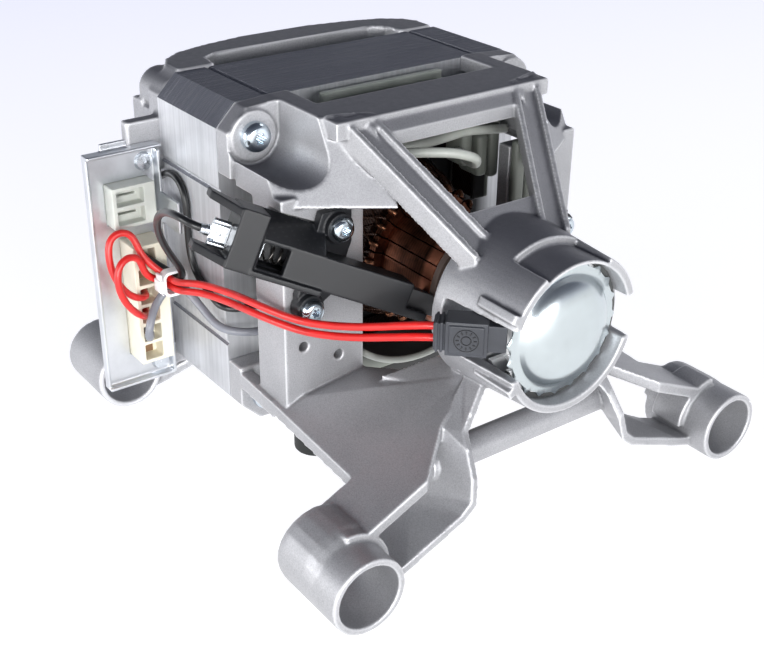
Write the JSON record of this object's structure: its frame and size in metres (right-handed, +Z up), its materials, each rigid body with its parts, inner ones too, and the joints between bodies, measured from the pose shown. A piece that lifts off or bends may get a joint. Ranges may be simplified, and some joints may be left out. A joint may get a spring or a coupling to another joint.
{
  "type": "washing machine motor",
  "caption": "Brushed universal motor on cast mounting arms, with an open lamination stack, inclined carbon brushes, a speed sensor in the rear hub and a side terminal bracket.",
  "frame": {"origin": "on the floor under the middle of the overall length, with the shaft axis above it", "axes": "+X along the shaft towards the commutator end, +Y to the side away from the terminal bracket, +Z up"},
  "size_m": [0.2196, 0.1924, 0.1364],
  "materials": {
    "cast_aluminium": "fine sandy die-cast skin",
    "stack_steel": "stacked sheet edges",
    "winding_copper": "lacquered wire",
    "frame_plastic": "moulded, slightly glossy",
    "zinc_steel": "zinc plated",
    "shaft_steel": "ground",
    "commutator_copper": "turned, darkened",
    "moulding_brown": "moulded",
    "black_plastic": "moulded, satin",
    "grey_plastic": "moulded, satin",
    "magnet": "sintered",
    "carbon": "pressed carbon",
    "cream_plastic": "moulded",
    "olive_plastic": "moulded",
    "white_nylon": "moulded",
    "red_insulation": "extruded",
    "black_insulation": "extruded",
    "grey_insulation": "extruded",
    "black_rubber": "moulded"
  },
  "bodies": {
    "housing": {"rear_shield_frame_left": "cast_aluminium", "rear_shield_frame_right": "cast_aluminium", "rear_shield_hub_left": "cast_aluminium", "rear_shield_hub_right": "cast_aluminium", "rear_shield_arm_left": "cast_aluminium", "rear_shield_arm_right": "cast_aluminium", "front_end_shield": "cast_aluminium", "stator_core": "stack_steel", "field_coil_upper": "winding_copper", "field_coil_lower": "winding_copper", "coil_frame_upper": "frame_plastic", "coil_frame_lower": "frame_plastic", "tacho_coil": "frame_plastic", "rear_shield_screws": "zinc_steel", "front_shield_screws": "zinc_steel", "tacho_cap": "zinc_steel", "brush_terminal_left": "zinc_steel", "brush_terminal_right": "zinc_steel", "brush_holder_screws": "zinc_steel", "terminal_sleeve": "zinc_steel", "terminal_bracket": "zinc_steel", "connector_contacts": "zinc_steel", "bracket_rivets": "zinc_steel", "wave_washer": "shaft_steel", "front_bearing_outer": "shaft_steel", "front_bearing_balls": "shaft_steel", "rear_bearing_outer": "shaft_steel", "rear_bearing_balls": "shaft_steel", "brush_spring_left": "shaft_steel", "brush_spring_right": "shaft_steel", "brush_holder_left": "black_plastic", "brush_holder_right": "black_plastic", "tacho_plug": "grey_plastic", "terminal_connector": "cream_plastic", "coding_connector": "olive_plastic", "cable_tie": "white_nylon", "red_lead_upper": "red_insulation", "red_lead_lower": "red_insulation", "black_lead": "black_insulation", "black_lead_rear": "black_insulation", "grey_lead": "grey_insulation", "lead_grommet": "black_rubber"},
    "rotor": {"shaft": "shaft_steel", "rotor_core": "stack_steel", "armature_winding": "winding_copper", "commutator_bars": "commutator_copper", "commutator_hub": "moulding_brown", "cooling_fan": "black_plastic", "drive_pulley": "shaft_steel", "front_bearing_inner": "shaft_steel", "rear_bearing_inner": "shaft_steel", "shaft_circlip": "shaft_steel", "tacho_magnet": "magnet"},
    "brush_left": {"carbon_brush_left": "carbon"},
    "brush_right": {"carbon_brush_right": "carbon"}
  },
  "joints": [
    {"name": "rotor_spin", "type": "hinge", "parent": "housing", "child": "rotor", "pos_m": [0.0052, 0, 0.0754], "axis": [1, 0, 0], "continuous": true},
    {"name": "brush_left_slide", "type": "slide", "parent": "housing", "child": "brush_left", "axis": [-0.342, -0.8482, 0.4045], "range_m": [0, 0.006], "stiffness_N_per_m": 120, "springref_m": -0.02, "deforming": ["brush_spring_left"]},
    {"name": "brush_right_slide", "type": "slide", "parent": "housing", "child": "brush_right", "axis": [-0.342, 0.8482, -0.4045], "range_m": [0, 0.006], "stiffness_N_per_m": 120, "springref_m": -0.02, "deforming": ["brush_spring_right"]}
  ]
}
